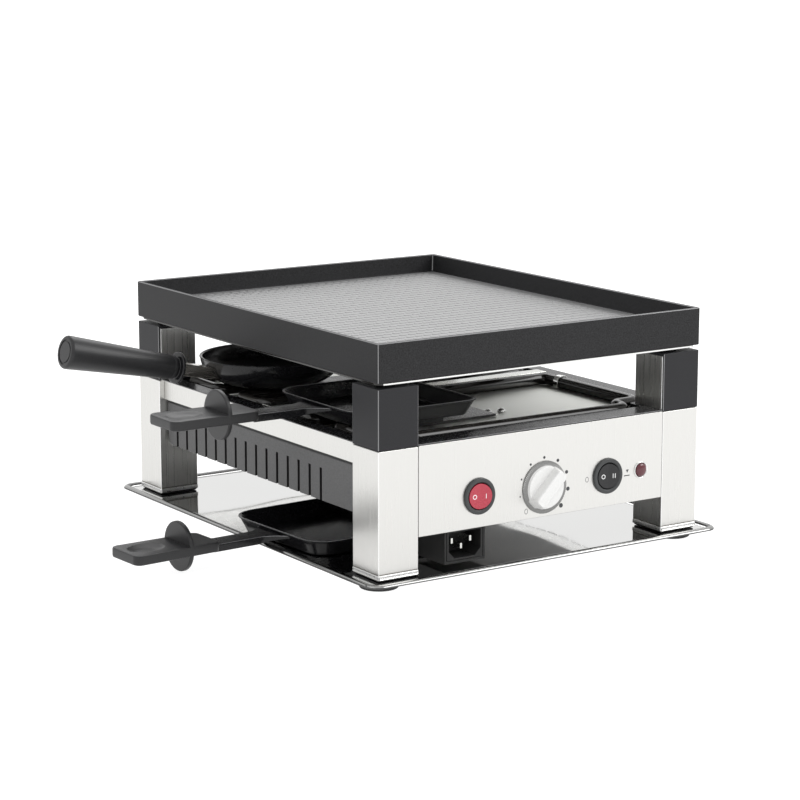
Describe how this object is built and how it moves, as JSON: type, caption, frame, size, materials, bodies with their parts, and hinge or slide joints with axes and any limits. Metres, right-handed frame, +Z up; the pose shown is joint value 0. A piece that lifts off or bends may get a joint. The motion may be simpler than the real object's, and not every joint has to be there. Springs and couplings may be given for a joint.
{
  "type": "table grill",
  "caption": "Tabletop griddle and raclette grill on square steel legs over a polished tray, with lift-off ribbed plate, slide-out pans, a small wok, switches and a thermostat.",
  "frame": {"origin": "middle of the bounding box's footprint, pan handles included, on the table", "axes": "+Z up, +X to the right seen from the control panel, +Y away from the control panel; the handles point to -X"},
  "size_m": [0.3792, 0.33, 0.154],
  "materials": {
    "brushed_steel": "vertical brushed stainless steel",
    "polished_steel": "mirror-polished stainless steel",
    "satin_steel": "satin stainless steel",
    "black_coating": "black satin coating on sheet steel",
    "nonstick_cast": "dark, finely textured non-stick coating on cast aluminium",
    "black_plastic": "black moulded plastic, fine matt grain",
    "bezel_plastic": "dark grey moulded plastic",
    "red_rocker": "glossy red translucent plastic",
    "red_lens": "clear dark red lens",
    "silver_knob": "silver-white lacquered plastic",
    "black_rubber": "matt black rubber",
    "white_ceramic": "cream ceramic",
    "element_steel": "heat-darkened steel tube"
  },
  "bodies": {
    "tray": {"base_tray": "polished_steel", "front_left_rubber_foot": "black_rubber", "front_right_rubber_foot": "black_rubber", "rear_left_rubber_foot": "black_rubber", "rear_right_rubber_foot": "black_rubber"},
    "grill_body": {"back_panel": "brushed_steel", "bottom_cover": "black_plastic", "deck_floor": "satin_steel", "deck_screw_1": "polished_steel", "deck_screw_2": "polished_steel", "deck_tray": "black_coating", "divider_strip": "satin_steel", "element_clip": "polished_steel", "front_left_glide": "black_plastic", "front_left_leg": "brushed_steel", "front_left_leg_cover": "black_coating", "front_lower_element": "element_steel", "front_panel": "brushed_steel", "front_right_glide": "black_plastic", "front_right_leg": "brushed_steel", "front_right_leg_cover": "black_coating", "front_terminal_box": "black_coating", "heater_frame": "polished_steel", "inlet_box": "black_plastic", "left_side_band": "brushed_steel", "left_vent_skirt": "black_plastic", "lower_heat_switch_bezel": "bezel_plastic", "main_switch_bezel": "bezel_plastic", "pilot_lens": "red_lens", "pilot_ring": "polished_steel", "power_inlet": "bezel_plastic", "rear_left_glide": "black_plastic", "rear_left_leg": "brushed_steel", "rear_left_leg_cover": "black_coating", "rear_lower_element": "element_steel", "rear_right_glide": "black_plastic", "rear_right_leg": "brushed_steel", "rear_right_leg_cover": "black_coating", "rear_terminal_box": "black_coating", "right_side_band": "brushed_steel", "right_vent_skirt": "black_plastic", "terminal_block": "white_ceramic", "thermostat": "white_ceramic", "upper_element": "element_steel"},
    "griddle": {"grill_plate": "nonstick_cast"},
    "upper_raclette_pan": {"upper_pan": "black_coating", "upper_pan_handle": "black_plastic"},
    "lower_raclette_pan": {"lower_pan": "black_coating", "lower_pan_handle": "black_plastic"},
    "wok": {"wok_bowl": "black_coating", "wok_bracket": "brushed_steel", "wok_collar": "brushed_steel", "wok_handle": "black_plastic"},
    "main_rocker_body": {"main_rocker": "red_rocker"},
    "lower_heat_rocker_body": {"lower_heat_rocker": "black_plastic"},
    "knob": {"thermostat_knob": "silver_knob", "thermostat_shaft": "satin_steel"}
  },
  "joints": [
    {"name": "grill_body_lift", "type": "slide", "parent": "tray", "child": "grill_body", "axis": [0, 0, 1], "range_m": [0, 0.1]},
    {"name": "griddle_lift", "type": "slide", "parent": "grill_body", "child": "griddle", "axis": [0, 0, 1], "range_m": [0, 0.1]},
    {"name": "upper_pan_slide", "type": "slide", "parent": "grill_body", "child": "upper_raclette_pan", "axis": [-1, 0, 0], "range_m": [0, 0.14]},
    {"name": "wok_slide", "type": "slide", "parent": "grill_body", "child": "wok", "axis": [-1, 0, 0], "range_m": [0, 0.14]},
    {"name": "lower_pan_draw", "type": "slide", "parent": "tray", "child": "lower_raclette_pan", "axis": [-0.9654, 0, 0.2607], "range_m": [0, 0.09]},
    {"name": "main_rocker_tilt", "type": "hinge", "parent": "grill_body", "child": "main_rocker_body", "pos_m": [0.00208, -0.1544, 0.0512], "axis": [0, 0, 1], "range_deg": [0, 14]},
    {"name": "lower_heat_rocker_tilt", "type": "hinge", "parent": "grill_body", "child": "lower_heat_rocker_body", "pos_m": [0.10308, -0.1544, 0.0512], "axis": [0, 0, 1], "range_deg": [0, 14]},
    {"name": "thermostat_turn", "type": "hinge", "parent": "grill_body", "child": "knob", "pos_m": [0.05258, -0.1533, 0.0503], "axis": [0, 1, 0], "range_deg": [0, 270]}
  ]
}
